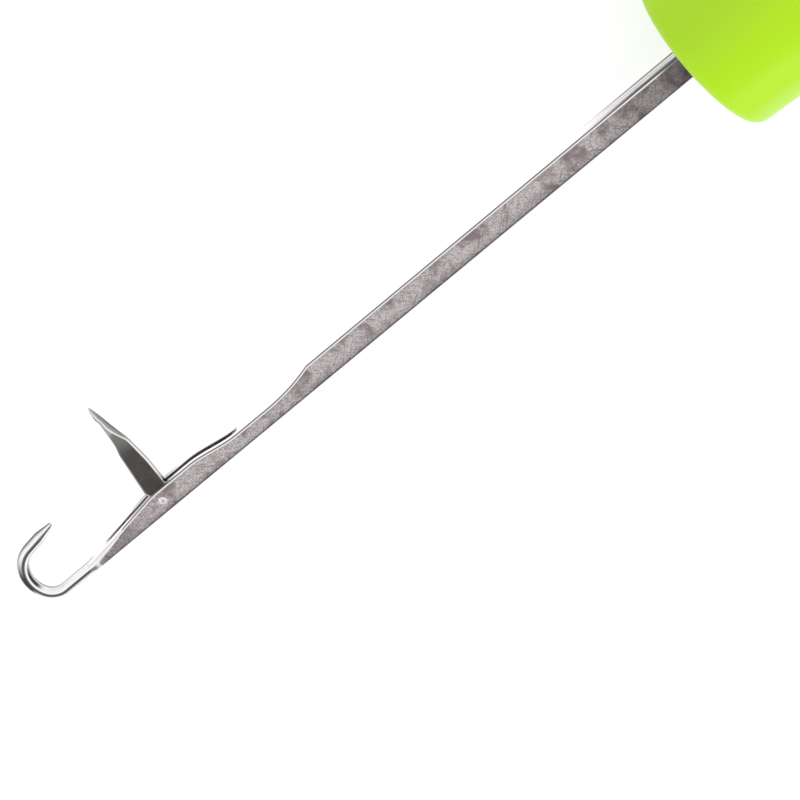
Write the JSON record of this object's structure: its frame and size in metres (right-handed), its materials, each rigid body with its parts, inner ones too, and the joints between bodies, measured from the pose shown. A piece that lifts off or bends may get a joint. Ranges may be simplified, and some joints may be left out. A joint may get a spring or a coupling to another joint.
{
  "type": "latch hook",
  "caption": "Latch hook for knotting rug yarn: a flat steel needle with an open hook and a pivoted, spoon-tipped latch, set in a smooth round plastic handle.",
  "frame": {"origin": "centre of the handle's butt face, on the tool's axis", "axes": "+X along the tool from the butt of the handle to the hook, -Y towards the throat of the hook and the raised latch, +Z square to the flat sides of the needle"},
  "size_m": [0.165, 0.0214, 0.0184],
  "materials": {
    "handle_plastic": "glossy lime-green moulding",
    "plug_plastic": "glossy lime-green moulding",
    "needle_steel": "nickel-plated, bright, with faint draw marks",
    "latch_steel": "nickel-plated, bright, a little darker",
    "rivet_steel": "peened and polished flush"
  },
  "bodies": {
    "tool": {"handle": "handle_plastic", "end_plug": "plug_plastic", "needle": "needle_steel", "latch_rivet": "rivet_steel"},
    "latch": {"latch": "latch_steel"}
  },
  "joints": [
    {"name": "latch_hinge", "type": "hinge", "parent": "tool", "child": "latch", "pos_m": [0.1481, 0, 0], "axis": [0, 0, 1], "range_deg": [-67, 69]}
  ]
}
